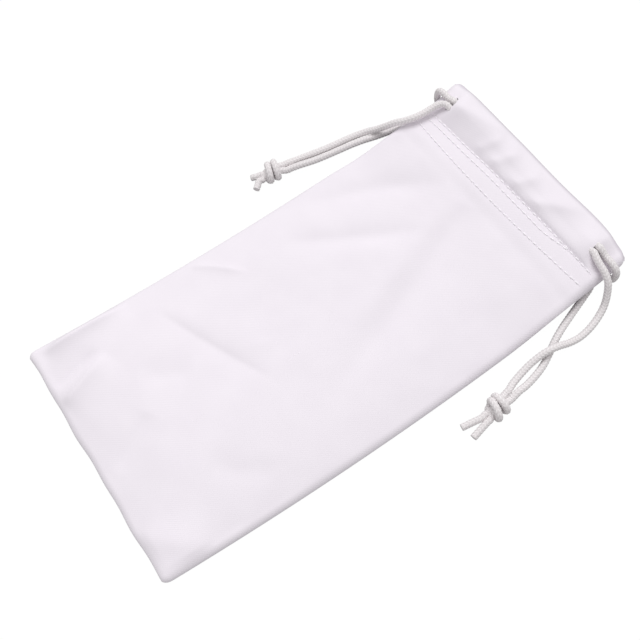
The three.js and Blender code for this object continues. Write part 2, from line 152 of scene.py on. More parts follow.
def tubeRings(path, radius, sides):
    # rings round a path; radius is one number, one for each ring, or one for each point
    way = unit(np.gradient(path, axis=0))
    side = np.empty_like(path)
    side[0] = unit(np.cross(way[0], (0.1, 0.2, 1)))
    for i in range(1, len(path)):
        side[i] = unit(side[i - 1] - way[i] * (side[i - 1] @ way[i]))
    up = np.cross(way, side)
    turn = np.linspace(0, 2 * np.pi, sides, endpoint=False)
    out = side[:, None] * np.cos(turn)[:, None] + up[:, None] * np.sin(turn)[:, None]
    radius = np.asarray(radius, float)
    if radius.ndim == 1:
        radius = radius[:, None]
    radius = np.broadcast_to(radius, out.shape[:2])
    return path[:, None] + out * radius[..., None]


def tubeFaces(rings, sides, first):
    # walls and the two caps of a tube whose points start at first
    index = first + np.arange(rings * sides).reshape(rings, sides)
    near, far = index[:-1], index[1:]
    walls = np.stack([near, np.roll(near, -1, 1), np.roll(far, -1, 1), far], -1)
    return walls.reshape(-1, 4).tolist(), [index[0, ::-1].tolist(), index[-1].tolist()]


def tubes(name, sets, material):
    # one piece of several closed tubes, each given as rings of points
    points, walls, caps, count = [], [], [], 0
    for rings in sets:
        wall, cap = tubeFaces(*rings.shape[:2], count)
        points.append(rings.reshape(-1, 3))
        walls += wall
        caps += cap
        count += rings.shape[0] * rings.shape[1]
    return makeMesh(name, np.concatenate(points), walls + caps, material, True, len(walls))


def shader(name, colour, roughness, sheen):
    material = bpy.data.materials.new(name)
    material.use_nodes = True
    nodes = material.node_tree.nodes
    base = nodes["Principled BSDF"]
    base.inputs["Base Color"].default_value = (*colour, 1)
    base.inputs["Roughness"].default_value = roughness
    base.inputs["Specular IOR Level"].default_value = 0.25
    base.inputs["Sheen Weight"].default_value = sheen
    base.inputs["Sheen Roughness"].default_value = 0.5
    return material, nodes, material.node_tree.links, base


def ramp(nodes, stops):
    node = nodes.new("ShaderNodeValToRGB")
    while len(node.color_ramp.elements) < len(stops):
        node.color_ramp.elements.new(0.5)
    for element, (place, colour) in zip(node.color_ramp.elements, stops):
        element.position = place
        element.color = (*colour, 1)
    return node


def markedColour(nodes, links, mark, plain, marked):
    # the plain colour, turned into the marked one where the mesh keeps a value for the mark
    value = nodes.new("ShaderNodeAttribute")
    value.attribute_name = mark
    both = nodes.new("ShaderNodeMixRGB")
    both.inputs["Color2"].default_value = (*marked, 1)
    links.new(value.outputs["Fac"], both.inputs["Fac"])
    links.new(plain, both.inputs["Color1"])
    return both.outputs["Color"]


def clothMaterial(name, pale, deep, rimShade):
    material, nodes, links, base = shader(name, pale, 0.9, 0.25)
    place = nodes.new("ShaderNodeTexCoord")
    cloudy = nodes.new("ShaderNodeTexNoise")
    cloudy.inputs["Scale"].default_value = 9
    cloudy.inputs["Detail"].default_value = 5
    tint = ramp(nodes, [(0.3, deep), (0.7, pale)])
    links.new(place.outputs["UV"], cloudy.inputs["Vector"])
    links.new(cloudy.outputs["Fac"], tint.inputs["Fac"])
    # painted shade along the rim's fold, where the mesh keeps a value for it
    colour = markedColour(nodes, links, "rimShade", tint.outputs["Color"], rimShade)
    links.new(colour, base.inputs["Base Color"])
    # twill: fine diagonal ribs crossed by finer ones
    heights = []
    for turn, scale in ((0.62, 52), (-0.5, 66)):
        turned = nodes.new("ShaderNodeMapping")
        turned.inputs["Rotation"].default_value = (0, 0, turn)
        rib = nodes.new("ShaderNodeTexWave")
        rib.inputs["Scale"].default_value = scale
        rib.inputs["Distortion"].default_value = 1.2
        rib.inputs["Detail"].default_value = 1
        links.new(place.outputs["UV"], turned.inputs["Vector"])
        links.new(turned.outputs["Vector"], rib.inputs["Vector"])
        heights.append(rib.outputs["Fac"])
    weave = nodes.new("ShaderNodeMath")
    weave.operation = "ADD"
    links.new(heights[0], weave.inputs[0])
    links.new(heights[1], weave.inputs[1])
    bump = nodes.new("ShaderNodeBump")
    bump.inputs["Strength"].default_value = 0.12
    bump.inputs["Distance"].default_value = 0.0001
    links.new(weave.outputs[0], bump.inputs["Height"])
    links.new(bump.outputs["Normal"], base.inputs["Normal"])
    return material


def threadMaterial(name, pale, deep, hole):
    # twisted thread, and the shade in the needle's holes
    material, nodes, links, base = shader(name, pale, 0.6, 0.15)
    place = nodes.new("ShaderNodeTexCoord")
    twist = nodes.new("ShaderNodeTexWave")
    twist.inputs["Scale"].default_value = 900
    twist.bands_direction = "DIAGONAL"
    tint = ramp(nodes, [(0.2, deep), (0.8, pale)])
    links.new(place.outputs["Object"], twist.inputs["Vector"])
    links.new(twist.outputs["Fac"], tint.inputs["Fac"])
    colour = markedColour(nodes, links, "hole", tint.outputs["Color"], hole)
    links.new(colour, base.inputs["Base Color"])
    return material


def cordMaterial(name, pale, deep):
    # painted shade: the braid's own height, kept on the mesh, darkens the colour in its hollows
    material, nodes, links, base = shader(name, pale, 0.65, 0.2)
    height = nodes.new("ShaderNodeAttribute")
    height.attribute_name = "braid"
    tint = ramp(nodes, [(0.1, deep), (0.8, pale)])
    links.new(height.outputs["Fac"], tint.inputs["Fac"])
    links.new(tint.outputs["Color"], base.inputs["Base Color"])
    return material


colours = {
    # the third colour of cloth and seam is painted shade along the rim's fold
    "cloth": {"pale": (0.865, 0.815, 0.873), "deep": (0.845, 0.794, 0.854), "rimShade": (0.64, 0.59, 0.65)},
    "seam": {"pale": (0.835, 0.785, 0.845), "deep": (0.80, 0.75, 0.81), "rimShade": (0.64, 0.59, 0.65)},
    "thread": {"pale": (0.95, 0.92, 0.955), "deep": (0.91, 0.87, 0.92), "hole": (0.83, 0.775, 0.84)},
    # the cord's deep colour is painted shade in the braid's hollows
    "cord": {"pale": (0.89, 0.855, 0.862), "deep": (0.72, 0.68, 0.69)},
}
clothLook = clothMaterial("pouch_cloth", **colours["cloth"])
seamLook = clothMaterial("seam_cloth", **colours["seam"])
threadLook = threadMaterial("sewing_thread", **colours["thread"])
cordLook = cordMaterial("braided_cord", **colours["cord"])

# The cloth's surfaces, in millimetres. u runs from -1 at the left edge to 1 at the right one.
pouch = {
    "halfWidth": 45.0,
    "rimY": 90.0,
    "bottomY": -90.0,
    "cloth": 0.45,  # thickness
    "bodyDepth": 8.4,
    "mouthCeiling": 8.95,
    "bow": 3,  # how far the sides curve to the right
    "corner": 3,  # how long the corners' rounding is
    "neckDepth": 1.8,  # how far the cord draws the left edge in below the rim
    "rimRise": 1.2,  # how far the rim stands up to the right of its middle
}
halfWidth, rimY, bottomY, cloth = (pouch[k] for k in ("halfWidth", "rimY", "bottomY", "cloth"))

casing = {
    "upperRowY": 76.5,
    "hemEdgeY": 68.1,
    "channelHeight": 2.9,
    "fullness": 0.65,  # less stands fuller
    "hemSkew": 3.8,  # the hems were sewn askew, further from the rim at the left
    "rimSkew": 0.15,  # share of that at the rim
    "lane": 1.3,  # from each cord's lane to the middle of the channel
}
upperRowY, hemEdgeY = casing["upperRowY"], casing["hemEdgeY"]

cordHole = {"x": 35.5, "y": 82.6, "middle": 37.2, "size": (1.5, 2.4)}
holeX, holeY, holeMiddle, holeSize = cordHole.values()

seam = {
    "low": 2.2,  # height of the seam's middle along the body
    "high": 6.2,  # and at the mouth
    "stack": 0.75,  # from there to the cloth over it
    "drop": 0.7,  # how far below it the cloth rolls
    "width": 4.5,
}


def mouthShare(y):
    return ease(y, hemEdgeY - 30, hemEdgeY)


def hemShare(y):
    return ease(y, hemEdgeY - 5, hemEdgeY)


def seamHeight(y):
    return mix(seam["low"], seam["high"], mouthShare(y))


def bowAt(y):
    return pouch["bow"] * ((holeY + 1.6) ** 2 - y**2) / rimY**2


def skewAt(u, y):
    share = mouthShare(y) * mix(1, casing["rimSkew"], ease(y, holeY, rimY))
    return -casing["hemSkew"] * share * (1 - u) / 2


def neckAt(u, y):
    share = ease(y, hemEdgeY - 42, hemEdgeY) * (1 - ease(y, holeY, rimY))
    return pouch["neckDepth"] * share * np.maximum(-u, 0) ** 2


def lay(u, y, z):
    # a point of the cloth in its place, with rounded corners and a slightly wavy bottom
    corner = pouch["corner"]
    into = np.abs(y - np.clip(y, bottomY + corner, rimY - corner))
    inset = corner - np.sqrt(np.clip(corner**2 - into**2, 0, None))
    x = u * (halfWidth - 0.6 * inset) + bowAt(y) + neckAt(u, y)
    rise = pouch["rimRise"] * bell(u - 0.72, 0.32) * ease(y, 80, 90)
    wave = 0.14 * np.sin(7.3 * u + 0.6) + 0.16 * np.sin(15 * u + 2)
    ripple = wave * (1 - ease(y, bottomY, bottomY + 14))
    return np.stack(np.broadcast_arrays(x, y + skewAt(u, y) + rise + ripple, z), -1)


def channelAt(u):
    return mix(casing["channelHeight"], 0.4, ease(np.abs(u), 0.78, 0.93))


def swell(y, fullness=casing["fullness"]):
    share = np.clip((y - upperRowY) / (rimY - upperRowY), 0, 1)
    return np.sin(np.pi * share**1.2) ** fullness


def bottomClose(y, length):
    return np.clip((bottomY + length - y) / length, 0, 1) ** 2


def frontInner(u, y):
    crown = (1 - np.abs(u) ** mix(2.8, 3.4, mouthShare(y))) * mix(0.75, 0.85, mouthShare(y))
    crown = crown * (1 - bottomClose(y, 30))
    ceiling = mix(cloth + pouch["bodyDepth"], pouch["mouthCeiling"], mouthShare(y))
    return mix(seamHeight(y) + seam["stack"], ceiling, crown)


def frontPlain(u, y):
    return frontInner(u, y) + cloth * (1 + hemShare(y)) + channelAt(u) * swell(y)


def backPlain(u, y):
    flat = (1 - ease(np.abs(u), 0.72, 1)) * (1 - bottomClose(y, 16))
    edge = seamHeight(y) - seam["stack"] - cloth * (1 + hemShare(y)) - 0.4 * swell(y)
    return mix(edge, 0.75 * mouthShare(y), flat)


def backHem(u, y):
    return backPlain(u, y) + cloth * (1 + hemShare(y)) + channelAt(u) * swell(y)


def rolled(u, y, z):
    # the cloth turns down to the seam along its sides and bottom
    side = mix(2.1, 2.6, mouthShare(y))
    share = 1.0
    for gap, radius in (((1 - np.abs(u)) * halfWidth, side), (y - bottomY, 2.3)):
        away = 1 - np.clip(gap / radius, 0, 1)
        share = share * np.sqrt(np.clip(1 - away**2, 0, 1))
    low = seamHeight(y) - seam["drop"]
    return low + (z - low) * share


# Folds of the front, each a line on the cloth with its height, the reach of its two flanks and how
# sharp its crest is. Seen along the line, left is the first flank.
folds = [
    {"line": [(-34, -47.5), (-12, -39), (14, -27)], "height": -0.8, "reach": (4, 14), "crest": 0.8},
    {"line": [(-42, -86), (-41.6, -70), (-42, -53)], "height": 2.8, "reach": (3, 7), "crest": 1},
    {"line": [(-21.5, -89), (-24.5, -79), (-28, -67)], "height": 1.5, "reach": (2.8, 9), "crest": 0.8},
    {"line": [(-28, -88), (-29.5, -79), (-32, -69)], "height": -0.7, "reach": (4, 2), "crest": 0.8},
    {"line": [(-40, -29), (-34, -22), (-25, -14)], "height": 0.6, "reach": (1.8, 3.5), "crest": 0.5},
    {"line": [(-36, 14), (-27, 40), (-12, 63)], "height": -1.05, "reach": (6, 7), "crest": 4},
    {"line": [(-29, 0), (-14, 24), (-2, 46)], "height": -0.9, "reach": (5, 7), "crest": 3},
    {"line": [(-3, 62), (9, 33), (30, -28)], "height": -1.0, "reach": (7, 7), "crest": 4},
    {"line": [(-8, 58), (2, 30), (14, 2)], "height": 0.65, "reach": (7, 6), "crest": 4},
    {"line": [(-20, -5), (-10, -18), (0, -24)], "height": -0.5, "reach": (5, 5), "crest": 3},
    {"line": [(-14, -64), (-10, -55), (-5, -48)], "height": -0.5, "reach": (5, 5), "crest": 4},
    {"line": [(8, -85), (2.3, -74.5), (-2.5, -66)], "height": -0.6, "reach": (5, 4), "crest": 1.5},
    {"line": [(22, -60), (30, -52), (36, -42)], "height": -0.5, "reach": (5, 5), "crest": 4},
    {"line": [(26, -89), (36, -81.5), (44, -70)], "height": 1.3, "reach": (14, 14), "crest": 2.5},
]
# ridges of the drawn casing
ridges = [
    {"line": [(-38, 81.5), (-25, 85), (-12, 88)], "height": 1.1, "reach": (4, 6), "crest": 1.5},
    {"line": [(-17, 76), (-15, 81), (-12.5, 87)], "height": 0.8, "reach": (3.4, 3), "crest": 1.6},
    {"line": [(-9.4, 76), (-7.2, 81), (-4.8, 87)], "height": 1.0, "reach": (3.4, 3.4), "crest": 1.8},
    {"line": [(1.4, 76), (3.8, 81), (6.5, 87)], "height": 1.0, "reach": (5, 3.6), "crest": 1.8},
    {"line": [(11, 76), (15.5, 81.5), (26, 89)], "height": 1.1, "reach": (6, 3.6), "crest": 1.8},
]
front = {
    "foldGain": 1.25,
    "hills": (0.18, 0.08),  # heights of the wide and the small hills between the folds
    "crest": (1.1, 0.1),  # height of the casing's crest at the left and at the right
    "rightFullness": 0.42,
    "foot": 0.9,  # how far the cloth stands up at the casing's foot, at the right
    "stitchDip": 0.04,
    "hood": 1.3,  # height of the cloth that a cord lifts at its hole
    "hoodX": 34.4,
}


def foldHeight(x, y, fold):
    steps = 60
    a, b, c = (np.array(p, float) for p in fold["line"])
    t = np.linspace(0, 1, steps)[:, None]
    line = a * (1 - t) ** 2 + 2 * (2 * b - (a + c) / 2) * t * (1 - t) + c * t**2
    step = np.linalg.norm(np.gradient(line, axis=0), axis=1)
    way = unit(np.gradient(line, axis=0))
    dx = x[..., None] - line[:, 0]
    dy = y[..., None] - line[:, 1]
    nearest = np.argmin(dx**2 + dy**2, axis=-1)[..., None]
    dx = np.take_along_axis(dx, nearest, -1)[..., 0]
    dy = np.take_along_axis(dy, nearest, -1)[..., 0]
    k = nearest[..., 0]
    side = way[k, 0] * dy - way[k, 1] * dx
    along = (k + (way[k, 0] * dx + way[k, 1] * dy) / step[k]) / (steps - 1)
    past = np.clip(np.abs(2 * along - 1), 0, 1)
    reach = np.where(side > 0, *fold["reach"])
    far = np.sqrt(side**2 + fold["crest"] ** 2) - fold["crest"]
    return fold["height"] * np.exp(-2.2 * far / reach) * (1 - past**4) ** 2


def foldsAt(u, y):
    x = u * halfWidth + bowAt(y)
    edge = ease((1 - np.abs(u)) * halfWidth, 0, 4) * ease(y - bottomY, 0, 4)
    wide, small = front["hills"]
    body = sum(foldHeight(x, y, fold) for fold in folds)
    body += wide * smoothNoise(x, y, 17, 3) + small * smoothNoise(x + 40, y, 7, 5)
    body = front["foldGain"] * body * (1 - ease(y, 62, 70))
    drawn = sum(foldHeight(x, y, fold) for fold in ridges) * (1 - ease(y, 87.5, rimY))
    crest = mix(*front["crest"], ease(x, -10, 14)) * ease(y, 78, 86.8) * (1 - ease(y, 87, rimY))
    return edge * (body + (drawn + crest) * ease(y, upperRowY, upperRowY + 2.5))


def rowY(row, u):
    # the rows of stitches: the lower one sags, and the two upper ones meet at the right
    if row == "lower":
        return 68.8 + 2.4 * u**2 + 0.2 * u
    return upperRowY + 0 * u if row == "upper" else 74.2 + 2.2 * ease(u, 0.42, 0.75)


def frontOuter(u, y):
    rightward = ease(u, -0.5, -0.1)
    full = swell(y - 0.3, mix(casing["fullness"], front["rightFullness"], rightward)) - swell(y)
    foot = front["foot"] * rightward * ease(y, 64, 76.2) * (1 - ease(y, 76.6, 82))
    top = frontPlain(u, y) + foldsAt(u, y) + channelAt(u) * full + foot
    rows = sum(bell(y - rowY(row, u), 0.8) for row in ("lower", "middle", "upper"))
    inward = np.abs(u) * halfWidth - front["hoodX"]
    hood = bell(inward, np.where(inward < 0, 5, 3)) * bell(y - holeY, 3.8)
    return rolled(u, y, top - front["stitchDip"] * rows + front["hood"] * hood)


def backOuter(u, y):
    return np.maximum(rolled(u, y, backPlain(u, y)), 0.02)


def roundHole(x, y):
    # moves the grid so that its gap at a cord hole becomes an oval
    dx, dy = (np.abs(x) - holeMiddle) / holeSize[0], (y - holeY) / holeSize[1]
    square = np.maximum(np.abs(dx), np.abs(dy))
    scale = mix(square / np.maximum(np.hypot(dx, dy), 1e-6), 1, ease(square, 1, 2.4))
    return np.sign(x) * (holeMiddle + holeSize[0] * dx * scale), holeY + holeSize[1] * dy * scale


def panelGrid(outer, hem, up, fine):
    # the skin of a whole panel, turned over at the rim into the hem, with its normals, the points
    # that a hole takes out, its place on the flat cloth and its painted shade along the fold at the rim
    closing = 1 - np.cos(np.linspace(0, np.pi / 2, 9))  # stations that lie closer at the edge
    edge = 2.6 * closing
    ends = halfWidth - holeMiddle - holeSize[0], halfWidth - holeMiddle + holeSize[0]
    rest = spans(edge[-1], (ends[0], 7), (ends[1], 12), (halfWidth, round(33 / fine)))
    left = np.concatenate([edge, rest[1:]]) / halfWidth - 1
    us = np.concatenate([left, -left[-2::-1]])
    low = bottomY + 2.3 * closing
    hole = (holeY - holeSize[1], 36), (holeY + holeSize[1], 14)
    rest = spans(low[-1], (66, round(154 / fine)), *hole, (87, 3))
    turn = 87 + (rimY - 87) * np.sin(np.linspace(0, np.pi / 2, 16))
    ys = np.concatenate([low, rest[1:], turn[1:]])
    back = np.linspace(rimY - 0.05, hemEdgeY, 26)
    u, y = np.meshgrid(us, ys, indexing="ij")
    gone = np.abs(np.abs(u) * halfWidth - holeMiddle) < holeSize[0] - 0.01
    gone &= np.abs(y - holeY) < holeSize[1] - 0.01
    x, y = roundHole(u * halfWidth, y)
    u = x / halfWidth
    uh, yh = np.meshgrid(us, back, indexing="ij")
    uh = uh * (1 - 0.022 * ease(rimY - yh, 0, 3))
    skin = [lay(u, y, outer(u, y)), lay(uh, yh, rolled(uh, yh, hem(uh, yh)))]
    skin = np.concatenate(skin, 1)
    normal = unit(np.cross(np.gradient(skin, axis=0), np.gradient(skin, axis=1)))
    if normal[len(us) // 2, 40, 2] * up < 0:
        normal = -normal
    gone = np.concatenate([gone, np.zeros(uh.shape, bool)], 1)
    along = np.concatenate([ys, 2 * rimY - back])
    flat = np.stack(np.broadcast_arrays((us * halfWidth)[:, None], along), -1) / 100
    # painted shade: the colour darkens over the last 2 mm before the rim's fold
    rimShade = ease(np.concatenate([ys, back]), rimY - 2, rimY - 0.2)
    return skin, normal, gone, flat, np.broadcast_to(rimShade, gone.shape)


def panelHalf(name, skin, normal, gone, flat, rimShade):
    # a closed sheet from part of a panel's grid, without the cells round which a hole opens
    half = skin.shape[0] * skin.shape[1]
    cut = gone[:-1, :-1] | gone[1:, :-1] | gone[1:, 1:] | gone[:-1, 1:]
    quads = gridCells(*skin.shape[:2])[~cut]
    edges = np.stack([quads, np.roll(quads, -1, 1)], -1).reshape(-1, 2)
    once = {tuple(e) for e in edges.tolist()}
    walls = [(q, p, p + half, q + half) for p, q in once if (q, p) not in once]
    faces = quads.tolist() + (quads[:, ::-1] + half).tolist() + walls
    points = np.concatenate([skin.reshape(-1, 3), (skin - cloth * normal).reshape(-1, 3)])
    normals = np.concatenate([normal.reshape(-1, 3), -normal.reshape(-1, 3)])
    uv = np.concatenate([flat.reshape(-1, 2), flat.reshape(-1, 2) + 0.3])
    used = np.unique(np.concatenate([quads.ravel(), quads.ravel() + half]))
    place = np.full(2 * half, -1)
    place[used] = np.arange(len(used))
    piece = makeMesh(name, points[used], [tuple(place[list(f)].tolist()) for f in faces], clothLook)
    faceOutwards(piece)
    piece.data.normals_split_custom_set_from_vertices(normals[used].tolist())
    setUv(piece, uv[used])
    setValue(piece, "rimShade", np.tile(rimShade.ravel(), 2)[used])
    return piece


def bendWith(piece):
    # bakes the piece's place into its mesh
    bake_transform(piece)


for which, outer, hem, up, fine in (
    ("front", frontOuter, frontInner, 1, 0.8),
    ("back", backOuter, backHem, -1, 1.5),
):
    grid = panelGrid(outer, hem, up, fine)
    centre = len(grid[0]) // 2
    for side, word, part in ((-1, "left", slice(0, centre + 1)), (1, "right", slice(centre, None))):
        piece = panelHalf(f"{which}_panel_{word}", *(layer[part] for layer in grid))
        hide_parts(f"{which}_panel")
        bendWith(piece)
print("panels made")

stitches = {
    "pitch": {"lower": 2.35, "middle": 2.6, "upper": 2.6},
    "gap": 0.85,  # between two stitches of a row
    "radius": 0.3,
    "arch": 0.17,  # height of a stitch's middle over its ends
    "sink": 0.1,
    "reach": 42.7,  # how far a row runs to each side
    "middleReach": 33,  # the middle row ends sooner at the right
}
stitchRows = [
    {"node": "front_lower_stitches", "rows": ("lower",), "outer": frontOuter, "facing": 1},
    {"node": "front_upper_stitches", "rows": ("middle", "upper"), "outer": frontOuter, "facing": 1},
    {"node": "back_lower_stitches", "rows": ("lower",), "outer": backOuter, "facing": -1},
    {"node": "back_upper_stitches", "rows": ("middle", "upper"), "outer": backOuter, "facing": -1},
]


def stitch(row, x, length, outer, facing):
    # one stitch: a thread that comes up, lies on the cloth and goes down into the needle's hole
    t = np.linspace(0, 1, 8)
    u = (x + length * t) / halfWidth
    y = rowY(row, u)
    lift = stitches["arch"] * np.sin(np.pi * t) ** 0.6 - stitches["sink"]
    path = lay(u, y, outer(u, y) + facing * lift)
    thread = tubeRings(path, stitches["radius"] * np.sin(np.pi * mix(0.1, 0.9, t)) ** 0.5, 6)
    u = (x + length + np.linspace(0.1, 0.75, 4)) / halfWidth
    y = rowY(row, u)
    path = lay(u, y, outer(u, y))
    hole = tubeRings(path, np.array((0.06, 0.22, 0.22, 0.06)), 6) - path[:, None]
    return thread, path[:, None] + hole * np.array((1, 1, 0.3))


for row in stitchRows:
    for side, word in ((-1, "left"), (1, "right")):
        sets, holes = [], []
        for line in row["rows"]:
            pitch = stitches["pitch"][line]
            reach = stitches["middleReach" if line == "middle" and side > 0 else "reach"]
            for x in np.arange(0.2, reach - pitch, pitch):
                start = x if side > 0 else -x - pitch
                pair = stitch(line, start, pitch - stitches["gap"], row["outer"], row["facing"])
                for k, rings in enumerate(pair):
                    sets.append(rings)
                    holes.append(np.full(rings.shape[0] * rings.shape[1], float(k)))
        piece = tubes(f"{row['node']}_{word}", sets, threadLook)
        setValue(piece, "hole", np.concatenate(holes))
        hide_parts(row["node"])
        bendWith(piece)
print("stitches made")


def seamStrip(name, us, ys, node, body):
    # two turned-in layers of cloth with a soft edge
    u, y = np.meshgrid(us, ys, indexing="ij")
    wave = 0.08 * smoothNoise(u * 90, y, 5, 11)
    skins = [lay(u, y, seamHeight(y) + facing * cloth + wave).reshape(-1, 3) for facing in (1, -1)]
    half = u.size
    index = np.arange(half).reshape(u.shape)
    quads = gridCells(*u.shape).reshape(-1, 4)
    loop = np.concatenate([index[:, 0], index[-1, 1:], index[-2::-1, -1], index[0, -2:0:-1]]).tolist()
    walls = [(p, p + half, q + half, q) for p, q in zip(loop, loop[1:] + loop[:1])]
    faces = quads.tolist() + (quads[:, ::-1] + half).tolist()
    piece = makeMesh(name, np.concatenate(skins), faces + walls, seamLook, True, len(faces))
    faceOutwards(piece)
    uv = np.stack([u * halfWidth, y], -1).reshape(-1, 2) / 100
    setUv(piece, np.concatenate([uv, uv]))
    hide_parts(node)
    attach(piece, body)


def overlock(name, u, y, inward, node, body):
    # a thread that loops over the strip's turned-in edge
    edge = lay(u, y, seamHeight(y) + 0.62)
    sets = []
    for p, q in zip(edge[:-1:2], edge[1::2]):
        sets.append(tubeRings(smoothPath([p, mix(p, q, 0.5) + inward, q], 0.4), 0.16, 5))
    piece = tubes(name, sets, threadLook)
    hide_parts(node)
    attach(piece, body)


threadIn = seam["width"] - 0.4  # from the pouch's edge to the overlocking
for side, word in ((-1, "left"), (1, "right")):
    node, body = f"{word}_side_seam", f"{word}_edge"
    us = side * np.linspace(1 - seam["width"] / halfWidth, 0.966, 6)
    seamStrip(f"{word}_turned_seam", us, np.linspace(bottomY + 1.6, rimY - 0.6, 120), node, body)
    ys = np.linspace(bottomY + 2 * seam["width"], rimY - 1, 130)
    us = np.full_like(ys, side * (1 - threadIn / halfWidth))
    overlock(f"{word}_overlock", us, ys, np.array((side * 1.5, 0, 0.1)), f"{word}_seam_thread", body)
us = np.linspace(-0.8, 0.8, 60)
ys = np.linspace(bottomY + 1.6, bottomY + seam["width"], 6)
seamStrip("bottom_turned_seam", us, ys, "bottom_seam", "pouch")
ys = np.full_like(us, bottomY + seam["width"] - 0.4)
overlock("bottom_overlock", us, ys, np.array((0, -1.5, 0.1)), "bottom_seam_thread", "pouch")
print("seams made")

# The cords' routes outside the pouch, in millimetres. Each ring of a knot has its place along the
# knot and its tilt.
routes = {
    "left": {
        "away": 1,
        "front": [
            (-37.7, 77.1, 11.7), (-38.8, 75.4, 11.2), (-39.2, 73, 10.8), (-39.3, 70.4, 10.6),
            (-39.6, 67.8, 10.5), (-40.2, 65.2, 10.3), (-41.4, 62.7, 9.6), (-43.1, 60.3, 8.6),
            (-45, 57.8, 6.6), (-47.2, 55.2, 4.2), (-49.4, 52.4, 2.5), (-50.8, 49.2, 1.6),
            (-51.7, 45, 1.4), (-52.4, 40, 1.4), (-53.2, 35, 1.4), (-54.3, 29.8, 1.4), (-55.2, 25.2, 1.5),
        ],
        "back": [
            (-37.8, 77.2, 1.45), (-39.9, 76.2, 1.4), (-41.6, 74.2, 1.4), (-43, 71, 1.4), (-44, 67.5, 1.4),
            (-44.8, 63.5, 1.4), (-45.4, 58.8, 1.4), (-46.4, 54.4, 1.4), (-47.8, 49.5, 1.4), (-48.8, 45, 1.4),
            (-49.6, 40, 1.4), (-50.4, 35, 1.4), (-51.3, 30, 1.5), (-52.2, 25.2, 2.2),
        ],
        "knotPlace": (-55.5, 14.9, 3.8),
        "heading": (-0.147, -0.989, 0),
        "rings": {"front": (-1.4, 0.12), "back": (1.2, 0.22)},
        "tailEnds": {"front": (-58.5, 7.8, 1.6), "back": (-53.1, 6.4, 2.2)},
    },
    "right": {
        "away": -1,
        "front": [
            (39.2, 80.4, 11.7), (41.6, 80, 11.2), (44.4, 79.7, 10.6), (47.4, 79, 9), (49.9, 77.5, 6),
            (52, 75.2, 3.2), (53.6, 71.8, 1.8), (54.9, 67.4, 1.4), (55.5, 62.6, 1.4), (55.1, 58.2, 2),
            (54.3, 54.2, 3.5), (53.7, 50.4, 4.3), (53.4, 46.6, 3.4), (53.6, 42.4, 2.1), (54.3, 38.4, 1.5),
            (55.3, 34.6, 1.5),
        ],
        "back": [
            (39, 80.3, 1.45), (41.2, 79.6, 1.4), (43, 78.2, 1.4), (44.2, 76.2, 1.4), (45.1, 73.6, 1.4),
            (46.3, 70, 1.4), (47.9, 65.2, 1.4), (50, 59.2, 1.4), (52.1, 54.4, 1.4), (54.3, 50.4, 1.4),
            (56.3, 46, 1.4), (57.6, 41.4, 1.4), (58.3, 37.4, 1.6), (58.5, 34.4, 2.2),
        ],
        "knotPlace": (58.7, 25.4, 3.8),
        "heading": (0.16, -0.987, 0),
        "rings": {"front": (-1.5, 0.1), "back": (1.3, 0.4)},
        "tailEnds": {"front": (57.3, 12.4, 1.5), "back": (62, 13.4, 1.5)},
    },
}
cord = {
    "radius": 1.25,
    "drawnRadius": 1.23,
    "knotRadius": 1.2,
    "hollow": 0.09,  # how far the braid's hollows lie under that
    "relief": 0.13,
    "pitch": 1.15,
    "columns": 8,
    "sides": 32,
    "step": 0.25,
    "climb": (32.7, 38.3),  # where a cord comes up through its hole
    "clear": 0.3,
    "flatten": 0.56,  # how flat the cords lie where they cross in the channel
    "spread": 0.3,  # and how much wider
    "apart": 0.7,
}
cordRadius, cordStep = cord["radius"], cord["step"]
knotRing = {"wide": 2.9, "high": 2.6, "turn": (-35, 215)}


def laneAt(away, x):
    return holeY + casing["lane"] * np.sin(np.pi / 2 * np.clip(away * x / 14, -1, 1))


def channelPoint(which, away, x):
    u, y = x / halfWidth, laneAt(away, x)
    if which == "front":
        ends = (frontInner(u, y) + frontPlain(u, y)) / 2, frontPlain(u, y) + 0.2 + cordRadius
    else:
        ends = (backHem(u, y) + backPlain(u, y)) / 2, np.full_like(u, 0.15 + cordRadius)
    z = mix(*ends, ease(np.abs(x), *cord["climb"]))
    return np.stack([x + bowAt(y) + neckAt(u, y), y + skewAt(u, y), z], -1)


def channelPoints(away):
    # through the front channel, round the far edge and back through the other channel
    front = channelPoint("front", away, away * np.linspace(-holeX, 40, 25))
    back = channelPoint("back", away, away * np.linspace(40, -holeX, 25))
    top, low = front[-1], back[0]
    edge = away * halfWidth + neckAt(float(away), holeY + casing["lane"])
    angle = np.pi * np.linspace(0.4, -0.4, 9)
    out = (abs(edge - top[0]) + 0.4 + cordRadius) * np.cos(angle) ** (2 / 3)
    up = (top[2] - low[2]) / 2 * np.sign(angle) * np.abs(np.sin(angle)) ** (2 / 3)
    turn = np.stack([top[0] + away * out, np.full(9, top[1]), (top[2] + low[2]) / 2 + up], -1)
    return np.concatenate([front, turn, back])


def knotPoints(which, route):
    # one strand through its knot: along the middle, back below, round both strands as a ring and
    # out; each spot is along, across and up from the knot's middle
    along = unit(np.array(route["heading"]))
    across = np.array((-along[1], along[0], 0))
    hand = 1 if which == "back" else -1
    at, tilt = route["rings"][which]
    spots = [(-5.2, 1.25 * hand, -1.3), (-2.8, 0.95 * hand, -0.4), (0, 0.5 * hand, 0)]
    spots += [(2.2, 0.7 * hand, -0.6), (2.1, 1.7 * hand, -1.9)]
    for t in np.radians(np.linspace(*knotRing["turn"], 9)):
        off = knotRing["wide"] * hand * math.cos(t)
        spots.append((at + tilt * off, off, knotRing["high"] * math.sin(t)))
    spots += [(at + 1.2, -1.2 * hand, -1.8), (2.6, -0.2 * hand, -1.1), (4.2, 1.05 * hand, -0.9)]
    spots = np.array(spots)
    middle = np.array(route["knotPlace"]) - (0, 0, 0.6)
    return middle + spots[:, :1] * along + spots[:, 1:2] * across + spots[:, 2:] * np.array((0, 0, 1))


